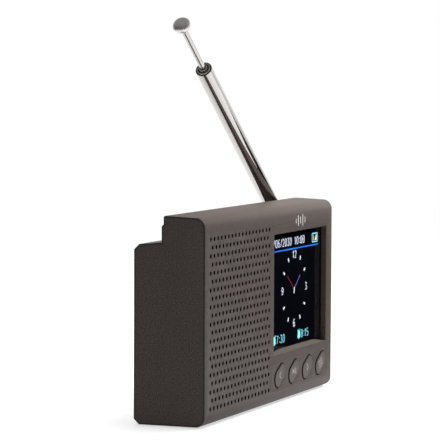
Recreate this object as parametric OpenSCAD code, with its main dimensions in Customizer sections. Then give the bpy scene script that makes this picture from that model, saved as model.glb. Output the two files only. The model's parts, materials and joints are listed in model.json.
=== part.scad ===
// Small portable radio: a perforated case with a colour display, four push buttons and a folding
// telescopic antenna. Millimetres.
// Shapes are drawn in case coordinates: x from the middle of the case, y back from the front face,
// z up from the underside. place() then stands the whole radio on its feet, centred on the origin.

/* [Case] */
// Width of the case, left to right
case_w = 124.5; // [124:0.5:128]
// Depth of the case, front to rear
case_d = 25; // [24.5:0.5:27]
// Height of the case at its highest edge
case_h = 68.5; // [68.5:0.5:70]
// Thickness of the moulded walls
wall = 1.9; // [1.7:0.1:2]
// Radius of the front top edge
edge_top_r = 3.4; // [2.5:0.1:4]
// Radius of the front bottom edge
edge_bottom_r = 3.2; // [2.5:0.1:4]
// How far the feet stand out below the case
foot_proud = 0.4; // [0.3:0.1:1]

/* [Antenna bay] */
// Depth of the thin upper part of the case, in front of the bay
bay_y = 15.3; // [15:0.1:15.6]
// Height of the bay floor at its front
bay_floor_z = 59.8; // [59.5:0.1:60]
// Fall of the bay floor towards the rear
bay_fall = 0.7; // [0.3:0.1:1]

/* [Grille] */
// Distance between neighbouring grille holes
hole_pitch = 3.2; // [3.1:0.05:3.2]
// Diameter of a grille hole
hole_d = 1.5; // [1.2:0.1:1.8]
// Number of rows
hole_rows = 21; // [15:2:21]
// Holes in a long row
hole_columns = 18; // [12:1:18]

/* [Display] */
// Width of the window
window_w = 54.3; // [50:0.1:55]
// Height of the window
window_h = 41.9; // [40:0.1:42]
// Middle of the window, right of the middle of the case
window_x = 29.1; // [28.8:0.1:29.3]
// Height of the window's lower edge
window_z = 16.9; // [16.5:0.1:17.5]
// Rise of the sloping sill from the front face to the glass
sill_rise = 1.3; // [0.8:0.1:1.6]
// Width of the lit picture
picture_w = 50; // [48:0.5:51]
// Height of the lit picture
picture_h = 37.5; // [36:0.5:38.5]

/* [Buttons] */
// Distance between neighbouring buttons
button_pitch = 14.1; // [13.8:0.1:14.4]
// Height of the buttons' middles
button_z = 9.45; // [9.2:0.05:9.6]
// Short width of a button
button_w = 5.8; // [5.4:0.1:6]
// Distance between the centres of a button's two round ends
button_c = 4.7; // [4:0.1:5]
// Lean of a button's long axis
button_lean = 27; // [20:1:32]
// How far a button stands out of the front face
button_proud = 0.3; // [0.2:0.1:0.6]
// Travel of a button
button_travel = 0.5; // [0.3:0.1:0.6]

/* [Antenna] */
// Height of the antenna above horizontal as drawn
antenna_tilt = 36.3; // [30:0.1:60]
// Distance from the hinge to the outer tube's mouth
antenna_len = 88.7; // [80:0.1:92]
// Outer diameter of the outer tube
antenna_od = 5.8; // [5.8:0.1:6]
// Difference in diameter between one tube and the next
antenna_step = 0.92; // [0.9:0.01:0.95]
// How far the rod is drawn out
rod_out = 21.5; // [5:0.1:40]

/* [Speaker] */
// Diameter of the speaker's flange
speaker_d = 50; // [48:0.5:50]

/* [Hidden] */
$fn = 64;
e = 0.01;                       // overshoot of a cut past the face it opens
shell_color = "#4b4542";
key_color = "#4a4441";
chrome_color = "#d8d8da";
steel_color = "#a9abad";
board_color = "#1f5a35";
black_color = "#17171a";

// Case
front_y = -(case_d - button_proud) / 2;     // front face in the part's own frame
side_wall = 1.8;
inner_x = case_w / 2 - side_wall;
seam = 0.1;                     // gap between the two shells
rear_chamfer = 1.8;
step_z = 65;                    // where the upper part's back steps forward
step_d = 0.7;
top_fall = 0.4;                 // the top falls this much towards the front
top_back_chamfer = 0.4;
bay_rear_z = bay_floor_z - bay_fall;
split_z = step_z + step_d;      // top edge of the rear shell
back_y = bay_y - step_d;        // back of the thin upper part
rear_in = case_d - wall;        // inner face of the rear wall
boss_x = 57.4;
boss_r = 2.6;
boss_y = 10.4;
boss_z = [8, 50];
case_screw_r = 0.85;
foot_r = 4;
foot_sink = 0.8;
foot_bevel = 0.3;
foot_x = 50;
foot_y = [8, 18];

// Grille
row_pitch = hole_pitch * sqrt(3) / 2;
grille_x = -30.1;
grille_z = 33.2;

// Display stack, front to rear
tape_t = 0.15;
lens_y = wall + tape_t;
lens_t = 0.7;
panel_y = lens_y + lens_t + tape_t;
panel_t = 1.4;
panel_w = 58.6;
panel_h = 42;
ribbon_x = window_x - panel_w / 2 + 7.5;    // left side of the socket that the ribbon runs to
tray_t = 0.4;
window_mid_z = window_z + window_h / 2;
lens_margin = 2;
sill_run = 10.5;                // the sill dies away over this length at each end
sill_end = 0.15;                // what is left of its rise at the very end

// Main board
board_y = 8;
board_t = 1.6;
board_x = [1.6, 59.2];
board_z = [2.4, 65.4];
board_back = board_y + board_t;
post_r = 2;
post_xz = [[14.9, 4.6], [43.3, 4.6], [5, 63.2], [52, 63.2]];
pilot_r = 0.8;

// Buttons and switches
hole_gap = 0.3;
flange_w = 1.6;                 // how much wider than the button its flange is
flange_y = wall + 0.1;
flange_t = 0.8;
switch_h = 3.2;
plunger_h = 0.8;
plunger_r = 1.6;
switch_y = board_y - switch_h;  // front of a switch's body
plunger_y = switch_y - plunger_h;
button_x = [for (i = [-1.5, -0.5, 0.5, 1.5]) window_x + i * button_pitch];

// Sockets in the right side wall
usb_z = 17;
usb_w = 8.94;
usb_h = 3.26;
usb_l = 7.4;
usb_y = board_back + usb_h / 2;
socket_face = case_w / 2 - 0.3;
jack_z = 33;
jack_w = 6.4;
jack_h = 5;
jack_l = 12;
jack_bore_r = 1.8;
jack_collar_r = 2.45;
jack_y = board_back + jack_h / 2;

// Speaker, depths from the front face
screen_t = 0.25;
gasket_t = 1;
flange_front = wall + screen_t + gasket_t;
speaker_t = 1;
speaker_r = speaker_d / 2;
lug_r = 27.4;                   // speaker screws' distance from its axis
lug_xz = [for (a = [45 : 90 : 315]) [lug_r * cos(a), lug_r * sin(a)]];
spider_y = 11.65;
step_y = 7.8;                   // where the frame's pan steps in
basket_y = 12.6;
plate_y = 13.6;
magnet_y = 15.1;
back_plate_y = 19.1;
speaker_end = 20.6;
coil_r = 6.2;
cap_y = 15.06;                  // centre of the dust cap's dome

// Battery
battery_x = 9;
battery_y = 16.4;
battery_z = 8;
battery_w = 44;
battery_h = 38;
battery_t = 5.6;
foam_inset = 4;

// Antenna
pivot_x = 56.5;
pivot_y = 19.8;
pivot_z = 63.3;
tube_start = 4.6;               // from the hinge to the outer tube's lower end
tube_wall = 0.3;
slip = 0.06;                    // running clearance of the sections
lip = 1;                        // length of the narrowed mouth
collar_l = 2;
collar_grow = antenna_step / 2 - tube_wall - slip;
nest = 0.3;                     // each tube's mouth stands this far out of the next larger one
pin_r = 0.9;
pin_slip = 0.05;
tongue_t = 2.4;
tongue_w = 4.2;
ear_gap = 2.7;
ear_t = 1.3;
ear_r = 2.4;
swivel_r = 3.6;
seat_z = 58.9;                  // bottom of the recess that the swivel base turns in
swivel_z = [seat_z + 0.05, 60.2];
stem_r = 2;
stem_end = 56.8;
tag_z = 57.15;                  // underside of the pad round the stem, where the solder tag lies
tag_t = 0.2;
tip_r = 3.1;
tip_h = 2;
rod_len = 82;

// ---------- helpers ----------

// Stands what is drawn in case coordinates on its feet, centred on the origin
module place() translate([0, front_y, foot_proud]) children();

// Draws a flat (x, z) outline as a plate whose front is at depth y
module plate(y, t) translate([0, y + t, 0]) rotate([90, 0, 0]) linear_extrude(t) children();

// Draws a flat (y, z) outline across the case from x
module across(x, w) translate([x, 0, 0]) rotate([90, 0, 90]) linear_extrude(w) children();

// A round bar that runs back from depth y
module bar(x, y, z, r, l, r2 = undef)
    translate([x, y, z]) rotate([-90, 0, 0]) cylinder(r1 = r, r2 = is_undef(r2) ? r : r2, h = l);

// Spins an outline of (radius, depth) points about an axis that runs back through (x, z)
module spin_back(x, z) translate([x, 0, z]) rotate([-90, 0, 0]) rotate_extrude() children();

// Turns what is drawn upright along +z to lie along the antenna, from the hinge outwards
module along_antenna()
    translate([pivot_x, pivot_y, pivot_z]) rotate([0, antenna_tilt - 90, 0]) children();

// A straight slot outline with round ends
module slot_outline(w, c, lean = 0) rotate(lean) {
    square([c, w], center = true);
    for (side = [-1, 1]) translate([side * c / 2, 0]) circle(d = w);
}

// A rectangle with round corners, made of true arcs
module round_rect(w, h, r) {
    square([w - 2 * r, h], center = true);
    square([w, h - 2 * r], center = true);
    for (sx = [-1, 1], sz = [-1, 1]) translate([sx * (w / 2 - r), sz * (h / 2 - r)]) circle(r);
}

// A panel or pan head screw with a cross recess; its head's top is at depth y and its shank runs forward
module screw(x, y, z, head_r, head_h, shank_r, length, countersunk = false) difference() {
    union() {
        bar(x, y - head_h, z, countersunk ? shank_r : head_r, head_h, head_r);
        bar(x, y - length, z, shank_r, length - head_h + e);
    }
    for (a = [0, 90]) translate([x, y, z]) rotate([0, a, 0])
        cube([head_r * 1.2, head_h * 1.1, head_r * 0.3], center = true);
}

// Smooth curve through points: Catmull-Rom, with a few steps to each span
function spline_point(p, i, t) = let (n = len(p) - 1,
        a = p[max(i - 1, 0)], b = p[i], c = p[i + 1], d = p[min(i + 2, n)])
    0.5 * (2 * b + (c - a) * t + (2 * a - 5 * b + 4 * c - d) * t * t
        + (3 * b - a - 3 * c + d) * t * t * t);
function smooth(p, steps = 5) = [for (i = [0 : len(p) - 2], k = [0 : steps - 1])
    spline_point(p, i, k / steps), p[len(p) - 1]];
function unit(v) = v / norm(v);

// A round wire swept along points
module wire(points, d) {
    route = smooth(points);
    sides = 8;
    last = len(route) - 1;
    rings = [for (i = [0 : last])
        let (t = unit(route[min(i + 1, last)] - route[max(i - 1, 0)]),
             u = unit(cross(t, [0.31, 0.27, 0.91])), v = cross(t, u))
        for (k = [0 : sides - 1]) route[i] + d / 2 * (cos(k * 45) * u + sin(k * 45) * v)];
    faces = [[for (k = [0 : sides - 1]) k], [for (k = [sides - 1 : -1 : 0]) last * sides + k],
        for (i = [0 : last - 1], k = [0 : sides - 1])
            let (n = (k + 1) % sides)
            [i * sides + k, (i + 1) * sides + k, (i + 1) * sides + n, i * sides + n]];
    polyhedron(rings, faces);
}

// ---------- case ----------

// Side view of the case as (y, z): round front edges, chamfered rear edges and the antenna bay
module case_outline() {
    polygon([[edge_bottom_r, 0], [case_d - rear_chamfer, 0], [case_d, rear_chamfer],
        [case_d, bay_rear_z - rear_chamfer], [case_d - rear_chamfer, bay_rear_z],
        [bay_y, bay_floor_z], [bay_y, step_z], [back_y, split_z],
        [back_y, case_h - top_back_chamfer], [back_y - top_back_chamfer, case_h],
        [edge_top_r, case_h - top_fall], [0, case_h - top_fall - edge_top_r], [0, edge_bottom_r]]);
    translate([edge_top_r, case_h - top_fall - edge_top_r]) circle(edge_top_r);
    translate([edge_bottom_r, edge_bottom_r]) circle(edge_bottom_r);
}

// The hollow inside the case, seen from the side
module cavity_outline() {
    top = case_h - top_fall;
    polygon([[edge_bottom_r, wall], [rear_in, wall], [rear_in, bay_rear_z - wall],
        [back_y - wall, bay_floor_z - wall], [back_y - wall, top - wall], [edge_top_r, top - wall],
        [wall, top - edge_top_r], [wall, edge_bottom_r]]);
    translate([edge_top_r, top - edge_top_r]) circle(edge_top_r - wall);
    translate([edge_bottom_r, edge_bottom_r]) circle(edge_bottom_r - wall);
}

// The share of the wall that belongs to the rear shell, grown by a gap
module rear_share(gap) polygon([[rear_in - gap, -1], [case_d + 1, -1], [case_d + 1, split_z + gap],
    [back_y - wall - 1, split_z + gap], [back_y - wall - 1, bay_floor_z - wall - 2],
    [rear_in - gap, bay_floor_z - wall - 2]]);

module grille_holes() {
    for (row = [0 : hole_rows - 1]) {
        count = hole_columns - row % 2;
        for (i = [0 : count - 1])
            translate([grille_x + (i - (count - 1) / 2) * hole_pitch,
                grille_z + (row - (hole_rows - 1) / 2) * row_pitch]) circle(d = hole_d, $fn = 24);
    }
}

// The sloping sill along the bottom of the window, which dies away towards both ends
module window_sill() {
    half = window_w / 2;
    hull() {
        translate([window_x - half, 0, window_z - e]) cube([window_w, e, e]);
        plate(wall - e, e) translate([window_x, window_z - e]) polygon([[-half, 0], [half, 0],
            [half, sill_end], [half - sill_run * 0.75, sill_rise * 0.9], [half - sill_run, sill_rise],
            [sill_run - half, sill_rise], [sill_run * 0.75 - half, sill_rise * 0.9], [-half, sill_end]]);
    }
}

module side_plates() for (x = [-case_w / 2, inner_x]) across(x, side_wall) case_outline();

// Screw bosses on the side walls, which the rear shell closes onto
module case_bosses() for (side = [-1, 1], z = boss_z) {
    bar(side * boss_x, boss_y, z, boss_r, rear_in - seam - boss_y);
    translate([side > 0 ? boss_x : -inner_x - e, boss_y, z - 1.2])
        cube([inner_x - boss_x + e, rear_in - seam - boss_y, 2.4]);
}

module board_posts() for (p = post_xz) bar(p[0], wall - e, p[1], post_r, board_y - wall + e);

module speaker_posts() for (p = lug_xz)
    bar(grille_x + p[0], wall - e, grille_z + p[1], 2.3, flange_front - wall + e);

// Openings for the charging socket and the headphone socket in the right side wall
module socket_openings() {
    across(inner_x - e, side_wall + 2 * e) {
        translate([usb_y, usb_z]) slot_outline(usb_h + 0.4, usb_w - usb_h, 90);
        translate([jack_y, jack_z]) circle(jack_collar_r + 0.15);
    }
}

module front_shell() color(shell_color) place() difference() {
    union() {
        side_plates();
        difference() {
            across(-inner_x - e, 2 * inner_x + 2 * e) difference() {
                case_outline();
                cavity_outline();
                rear_share(seam);
            }
            plate(-e, wall + 2 * e) grille_holes();
            translate([window_x - window_w / 2, -e, window_z]) cube([window_w, wall + 2 * e, window_h]);
            for (x = button_x) plate(-e, wall + 2 * e) translate([x, button_z])
                slot_outline(button_w + 2 * hole_gap, button_c, button_lean);
        }
        window_sill();
        case_bosses();
        board_posts();
        speaker_posts();
    }
    for (side = [-1, 1], z = boss_z) bar(side * boss_x, rear_in - 11, z, case_screw_r, 11 + e);
    for (p = post_xz) bar(p[0], board_y - 5, p[1], pilot_r, 5 + e);
    for (p = lug_xz) bar(grille_x + p[0], wall + 0.2, grille_z + p[1], pilot_r, flange_front - wall);
    for (side = [-1, 1], y = foot_y) translate([side * foot_x, y, -e])
        cylinder(r = foot_r + 0.1, h = foot_sink);
    socket_openings();
}

module rear_shell() color(shell_color) place() difference() {
    union() {
        across(seam - inner_x, 2 * (inner_x - seam)) intersection() {
            difference() {
                case_outline();
                cavity_outline();
            }
            rear_share(0);
        }
        // ribs that locate the rear shell on the front shell's bottom wall and stiffen the bay floor
        for (x = [-48, -16, 16, 46]) translate([x, rear_in - 5, wall + seam]) cube([12, 5 + e, 1.2]);
        for (x = [-52, -10, 30]) translate([x, back_y - wall + 1, bay_floor_z - wall - 3])
            cube([1.4, rear_in - back_y + wall - 1 + e, 3]);
        // flat pad under the bay floor round the antenna's stem
        translate([pivot_x, pivot_y, tag_z]) cylinder(r = 3.7, h = 1);
    }
    for (side = [-1, 1], z = boss_z) {
        bar(side * boss_x, rear_in - e, z, 1.2, wall + 2 * e);
        bar(side * boss_x, case_d - 1.2, z, 1.2, 1.2 + e, 2.4);
    }
    translate([pivot_x, pivot_y, seat_z]) cylinder(r = swivel_r + 0.2, h = 5);
    translate([pivot_x, pivot_y, seat_z - 5]) cylinder(r = stem_r + 0.06, h = 6);
}

module case_screws() color(steel_color) place() for (side = [-1, 1], z = boss_z)
    screw(side * boss_x, case_d - 0.15, z, 2.2, 1.05, 0.8, 9.5, countersunk = true);

module rubber_feet() color(black_color) place()
    for (side = [-1, 1], y = foot_y) translate([side * foot_x, y, -foot_proud]) {
        cylinder(r1 = foot_r - foot_bevel, r2 = foot_r, h = foot_bevel);
        translate([0, 0, foot_bevel]) cylinder(r = foot_r, h = foot_sink - e + foot_proud - foot_bevel);
    }

// ---------- display ----------

module display_lens() color("#20242c", 0.5) place()
    plate(lens_y, lens_t) translate([window_x, window_mid_z])
        round_rect(window_w + 2 * lens_margin, window_h + 2 * lens_margin, 1);

// Two frames of tape: one holds the lens to the front wall, the other holds the panel to the lens
module display_tape() color(black_color) place() {
    plate(wall, tape_t) translate([window_x, window_mid_z]) difference() {
        round_rect(window_w + 2 * lens_margin, window_h + 2 * lens_margin, 1);
        square([window_w + 0.4, window_h + 0.4], center = true);
    }
    plate(lens_y + lens_t, tape_t) translate([window_x, window_mid_z]) difference() {
        round_rect(panel_w - 0.4, panel_h - 0.4, 0.5);
        square([picture_w + 1, picture_h + 1], center = true);
    }
}

module display_panel() color("#0b0d18") place()
    plate(panel_y, panel_t) translate([window_x, window_mid_z]) square([panel_w, panel_h], center = true);

module display_tray() color(steel_color) place() difference() {
    plate(panel_y, panel_t + 0.9) translate([window_x, window_mid_z])
        round_rect(panel_w + 2 * tray_t + 0.1, panel_h + 2 * tray_t + 0.1, 0.6);
    plate(panel_y - e, panel_t + 0.5 + e) translate([window_x, window_mid_z])
        square([panel_w + 0.1, panel_h + 0.1], center = true);
    // gap on the left for the ribbon
    translate([window_x - panel_w / 2 - 2, panel_y - e, window_mid_z - 11]) cube([2.5, panel_t + 0.5 + e, 22]);
}

// Flat ribbon that leaves the left end of the panel and folds round behind it to the board
module display_ribbon() color("#b8642a") place() {
    bend_x = window_x - panel_w / 2 - 0.55;
    bend_r = 1.5;
    mid_y = panel_y + 0.7 + bend_r;
    translate([0, 0, window_mid_z - 10]) linear_extrude(20) {
        difference() {
            translate([bend_x, mid_y]) circle(bend_r);
            translate([bend_x, mid_y]) circle(bend_r - 0.2);
            translate([bend_x, mid_y - 5]) square([5, 10]);
        }
        translate([bend_x, mid_y - bend_r]) square([window_x - panel_w / 2 - bend_x, 0.2]);
        translate([bend_x, mid_y + bend_r - 0.2]) square([ribbon_x - bend_x, 0.2]);
    }
}

module ribbon_socket() color("#e8e4d8") place()
    translate([ribbon_x, panel_y + 3.3, window_mid_z - 11.5])
        cube([5, board_y - panel_y - 3.3, 23]);

// ---------- board ----------

module main_board() color(board_color) place() difference() {
    translate([board_x[0], board_y, board_z[0]]) cube([board_x[1] - board_x[0], board_t, board_z[1] - board_z[0]]);
    for (p = post_xz) bar(p[0], board_y - e, p[1], 1.1, board_t + 2 * e);
}

module radio_module() color(steel_color) place() difference() {
    translate([12, board_back, 49]) cube([24, 2.4, 13]);
    translate([12.3, board_back - e, 49.3]) cube([23.4, 2.1, 12.4]);
    for (i = [0 : 5]) bar(15.5 + i * 3.4, board_back + 1, 55.5, 0.7, 3);
}

// Processor, amplifier, memory, coil and capacitors
module board_chips() color(black_color) place() {
    translate([39, board_back, 50]) cube([9, 1.2, 9]);
    translate([4, board_back, 50]) cube([5, 1.5, 6]);
    translate([4, board_back, 41]) cube([5, 1.2, 6]);
    translate([3.4, board_back, 31]) cube([4, 1.8, 4]);
    for (i = [0 : 3]) bar(5, board_back, 20 - i * 2.8, 1.1, 2.8);
    for (i = [0 : 5]) translate([14 + i * 5, board_back, 47]) cube([1.6, 0.8, 0.9]);
}

module board_screws() color(steel_color) place() for (p = post_xz)
    screw(p[0], board_back + 1.3, p[1], 1.9, 1.2, 0.75, 6.2);

module key_switches() color(black_color) place() for (x = button_x) difference() {
    translate([x - 2.6, switch_y, button_z - 2.6]) cube([5.2, switch_h, 5.2]);
    bar(x, switch_y - e, button_z, plunger_r + 0.08, button_travel + 0.4);
}

module button(i) color(key_color) place() translate([button_x[i], 0, button_z]) {
    plate(-button_proud, flange_y + button_proud + e) slot_outline(button_w, button_c, button_lean);
    plate(flange_y, flange_t) slot_outline(button_w + flange_w, button_c, button_lean);
    bar(0, flange_y + flange_t - e, 0, 1.4, plunger_y - flange_y - flange_t + e);
}
module back_button() button(0);
module select_button() button(1);
module forward_button() button(2);
module menu_button() button(3);

module plunger(i) color("#c9b27a") place() bar(button_x[i], plunger_y, button_z, plunger_r, plunger_h + 0.3);
module back_plunger() plunger(0);
module select_plunger() plunger(1);
module forward_plunger() plunger(2);
module menu_plunger() plunger(3);

// Flat oval metal shell with a contact tongue inside
module charging_socket() color(steel_color) place() {
    across(socket_face - usb_l, usb_l) translate([usb_y, usb_z]) difference() {
        slot_outline(usb_h, usb_w - usb_h, 90);
        slot_outline(usb_h - 0.6, usb_w - usb_h, 90);
    }
    across(socket_face - usb_l, 1.2) translate([usb_y, usb_z]) slot_outline(usb_h - 0.6, usb_w - usb_h, 90);
    across(socket_face - usb_l, usb_l - 0.7) translate([usb_y, usb_z]) square([0.7, 6.6], center = true);
}

module headphone_socket() color(black_color) place() difference() {
    union() {
        translate([inner_x - 0.3 - jack_l, board_back, jack_z - jack_w / 2]) cube([jack_l, jack_h, jack_w]);
        translate([inner_x - 0.4, jack_y, jack_z]) rotate([0, 90, 0])
            cylinder(r = jack_collar_r, h = socket_face - inner_x + 0.4);
    }
    translate([inner_x - jack_l + 1, jack_y, jack_z]) rotate([0, 90, 0]) cylinder(r = jack_bore_r, h = jack_l + 5);
}

// ---------- speaker ----------

module dust_screen() color("#0e0e10") place() plate(wall, screen_t) difference() {
    translate([grille_x, grille_z]) square([58.6, 57], center = true);
    for (p = lug_xz) translate([grille_x + p[0], grille_z + p[1]]) circle(2.4);
}

module speaker_gasket() color("#2a2a2c") place() spin_back(grille_x, grille_z)
    translate([22, wall + screen_t]) square([2.7, gasket_t]);

// Stamped frame: a flange with four lugs, a stepped pan and the floor that carries the magnet
module speaker_frame() color("#3a3a3d") place() difference() {
    union() {
        spin_back(grille_x, grille_z) polygon([[21.5, flange_front], [speaker_r, flange_front],
            [speaker_r, flange_front + speaker_t], [22.3, flange_front + speaker_t], [22.3, step_y + 0.8],
            [16.6, step_y + 0.8], [16.6, plate_y], [7.4, plate_y], [7.4, basket_y], [15.8, basket_y],
            [15.8, step_y], [21.5, step_y]]);
        for (a = [45 : 90 : 315]) translate([grille_x, 0, grille_z]) rotate([0, -a, 0]) {
            translate([speaker_r - 2, flange_front, -2.6]) cube([lug_r - speaker_r + 2, speaker_t, 5.2]);
            bar(lug_r, flange_front, 0, 2.9, speaker_t);
        }
    }
    for (p = lug_xz) bar(grille_x + p[0], flange_front - e, grille_z + p[1], 1.1, speaker_t + 2 * e);
    // windows that let the air behind the cone out
    for (a = [45 : 90 : 315]) translate([grille_x, 0, grille_z]) rotate([0, -a, 0]) {
        translate([18, flange_front + speaker_t + 0.8, -6.5]) cube([6, 2.2, 13]);
        translate([12, step_y + 1.4, -4]) cube([6, 2.6, 8]);
    }
}

module speaker_top_plate() color(steel_color) place() spin_back(grille_x, grille_z)
    translate([coil_r + 0.7, plate_y]) square([14 - coil_r - 0.7, magnet_y - plate_y]);

module speaker_magnet() color("#4a4a4e") place() spin_back(grille_x, grille_z)
    translate([8.4, magnet_y]) square([15.6 - 8.4, back_plate_y - magnet_y]);

module speaker_pole_plate() color(steel_color) place() spin_back(grille_x, grille_z)
    polygon([[0, plate_y], [coil_r - 0.7, plate_y], [coil_r - 0.7, back_plate_y], [14, back_plate_y],
        [14, speaker_end], [0, speaker_end]]);

// Corrugated disc that centres the voice coil
module speaker_spider() color("#c98f3c") place() spin_back(grille_x, grille_z) {
    t = 0.25;
    land = basket_y - t;
    r = [for (i = [0 : 7]) coil_r + 0.5 + i * 1.15];
    y = [for (i = [0 : 6]) spider_y + (i % 2) * 0.55, land];
    polygon([for (i = [0 : 7]) [r[i], y[i]], for (i = [7 : -1 : 0]) [r[i], y[i] + t]]);
    translate([r[7] - e, land]) square([0.6, t]);
}

// Half-round rubber roll between the cone and the frame
module speaker_surround() color(black_color) place() spin_back(grille_x, grille_z) {
    translate([20.3, flange_front]) difference() {
        circle(0.9);
        circle(0.6);
        translate([-2, 0]) square([4, 2]);
    }
    translate([21, flange_front - 0.25]) square([0.95, 0.25]);
}

module speaker_cone() color("#2b2b2e") place() spin_back(grille_x, grille_z)
    polygon([[18.9, flange_front], [19.1, flange_front + 0.3], [coil_r, 10.4], [coil_r, 9.9]]);

module speaker_dust_cap() color("#333336") place() intersection() {
    spin_back(grille_x, grille_z) difference() {
        translate([0, cap_y]) circle(9, $fn = 96);
        translate([0, cap_y]) circle(8.7, $fn = 96);
        translate([-20, -20]) square([20, 60]);
    }
    bar(grille_x, 4, grille_z, 8, 5.45);
}

module voice_coil() color("#b0703a") place() spin_back(grille_x, grille_z) {
    translate([coil_r - 0.2, 9.9]) square([0.2, 8]);
    translate([coil_r - e, 13.9]) square([0.25, 3]);
}

// Tag strip that stands off the right side of the flange
module speaker_terminals() color("#7a5a30") place()
    translate([grille_x + 22.8, flange_front + speaker_t, grille_z - 4]) cube([4, 0.8, 8]);

module speaker_screws() color(steel_color) place() for (p = lug_xz)
    screw(grille_x + p[0], flange_front + speaker_t + 1.1, grille_z + p[1], 2.2, 1.1, 0.75, 3);

module speaker_leads() for (i = [0, 1]) color(i == 0 ? "#b02a22" : black_color) place()
    wire([[-5.3, 5.02, 31.4 + i * 3.6], [-5.3, 6.5, 31.4 + i * 3.6], [-4.6, 9, 30.5 + i * 3],
        [-3, 12, 28 + i * 2], [0, 13, 26.5 + i * 2], [3, 12.2, 25.5 + i * 2],
        [3.9, 10.8, 25.2 + i * 2], [3.9, board_back + 0.08, 25.2 + i * 2]], 1);

// ---------- battery ----------

// Flat cell with its protection board along the top edge
module battery_cell() color("#9fa6ad") place() translate([battery_x, battery_y, battery_z]) {
    cube([battery_w, battery_t, battery_h]);
    translate([8, 1.5, battery_h]) cube([28, 2.5, 2.5]);
}

module battery_foam() color("#e6e2d6") place()
    translate([battery_x + foam_inset, battery_y + battery_t, battery_z + foam_inset])
        cube([battery_w - 2 * foam_inset, rear_in - battery_y - battery_t, battery_h - 2 * foam_inset]);

module battery_leads() for (i = [0, 1]) color(i == 0 ? "#b02a22" : black_color) place()
    wire([[24 + i * 3, 19.1, 48.6], [24 + i * 3, 19, 50.5], [26 + i * 3, 16.5, 52 + i],
        [30 + i * 2, 14, 50.5 + i * 2],
        [36 + i * 2, 13.2, 47 + i * 2], [39.2 + i * 2.4, 12.4, 44.6 + i],
        [40 + i * 2.4, 11, 44 + i], [40 + i * 2.4, board_back + 0.08, 44 + i]], 1.1);

// ---------- antenna ----------

// Swivel base: a round foot with a stem below and a two-eared fork above
module antenna_base() color(chrome_color) place() difference() {
    union() {
        translate([pivot_x, pivot_y, swivel_z[0]]) cylinder(r = swivel_r, h = swivel_z[1] - swivel_z[0]);
        translate([pivot_x, pivot_y, stem_end]) cylinder(r = stem_r, h = swivel_z[0] - stem_end + e);
        for (side = [-1, 1]) translate([pivot_x, pivot_y + side * (ear_gap + ear_t) / 2 - ear_t / 2, 0]) {
            translate([-ear_r, 0, swivel_z[1] - e]) cube([2 * ear_r, ear_t, pivot_z - swivel_z[1] + e]);
            bar(0, 0, pivot_z, ear_r, ear_t);
        }
    }
    bar(pivot_x, pivot_y - 5, pivot_z, pin_r, 10);
    translate([pivot_x, pivot_y, stem_end - e]) cylinder(r = 0.9, h = 3);
}

// Rivet through the fork and the knuckle
module antenna_pin() color(steel_color) place() {
    grip = ear_gap + 2 * ear_t;
    bar(pivot_x, pivot_y - grip / 2, pivot_z, pin_r, grip);
    bar(pivot_x, pivot_y - grip / 2 - 0.4, pivot_z, 1.2, 0.4, 1.5);
    bar(pivot_x, pivot_y + grip / 2, pivot_z, 1.5, 0.4, 1.2);
}

module antenna_washer() color(steel_color) place() translate([pivot_x, pivot_y, stem_end - 0.5]) difference() {
    cylinder(r = 3.1, h = 0.5);
    translate([0, 0, -e]) cylinder(r = 1, h = 1);
}

module antenna_screw() color(steel_color) place() translate([pivot_x, pivot_y, 0]) difference() {
    union() {
        translate([0, 0, stem_end - 1.7]) cylinder(r = 2, h = 1.2);
        translate([0, 0, stem_end - 0.5 - e]) cylinder(r = 0.9, h = 3);
    }
    for (a = [0, 90]) translate([0, 0, stem_end - 1.7]) rotate(a) cube([2.4, 0.6, 1.2], center = true);
}

// Thin ring with a tail, fixed under the bay floor, that the antenna lead is soldered to
module antenna_tag() color("#caa84a") place() translate([0, 0, tag_z - tag_t]) linear_extrude(tag_t) difference() {
    union() {
        translate([pivot_x, pivot_y]) circle(3);
        translate([pivot_x - 8, pivot_y - 1.2]) square([8, 2.4]);
    }
    translate([pivot_x, pivot_y]) circle(stem_r + 0.15);
}

module antenna_lead() color("#d8d4c8") place()
    wire([[49.4, 19.8, 56.88], [49, 19.6, 55.8], [46.5, 18.5, 54.8], [44.5, 15.6, 54.4], [43.3, 12.8, 55.4],
        [43, 11.9, 57.8], [43, 11.5, 60], [43, 10.6, 61.4], [43, board_back + 0.1, 61.4]], 0.9);

// Tongue with an eye, and the plug that closes the outer tube's lower end
module antenna_knuckle() color(chrome_color) place() along_antenna() difference() {
    union() {
        translate([-tongue_w / 2, -tongue_t / 2, 0]) cube([tongue_w, tongue_t, tube_start]);
        rotate([90, 0, 0]) cylinder(r = tongue_w / 2, h = tongue_t, center = true);
        translate([0, 0, tube_start - 1]) cylinder(r1 = 1.8, r2 = antenna_od / 2 - tube_wall, h = 1);
        translate([0, 0, tube_start - e]) cylinder(r = antenna_od / 2 - tube_wall, h = 1.6);
    }
    rotate([90, 0, 0]) cylinder(r = pin_r + pin_slip, h = 10, center = true);
}

function tube_r(i) = (antenna_od - i * antenna_step) / 2;
function tube_from(i) = tube_start + 1.6 * sign(i) + i * 0.9;

// Hollow section number i, from the outermost, 0, inwards: collar at the foot and narrowed mouth at the top
module antenna_tube(i) color(chrome_color) place() along_antenna() rotate_extrude() {
    r = tube_r(i);
    low = tube_from(i);
    top = antenna_len + i * nest;
    foot = i == 0 ? 0 : collar_grow;
    mouth = tube_r(i + 1) + slip;
    polygon([[r - tube_wall, low], [r + foot, low], [r + foot, low + collar_l], [r, low + collar_l + 0.3],
        [r, top - 0.35], [r - 0.2, top], [mouth, top], [mouth, top - lip],
        [r - tube_wall, top - lip - 0.3]]);
}
module antenna_tube_1() antenna_tube(0);
module antenna_tube_2() antenna_tube(1);
module antenna_tube_3() antenna_tube(2);
module antenna_tube_4() antenna_tube(3);

tip_s = antenna_len + 3 * nest + rod_out + tip_h + 0.1;

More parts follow.
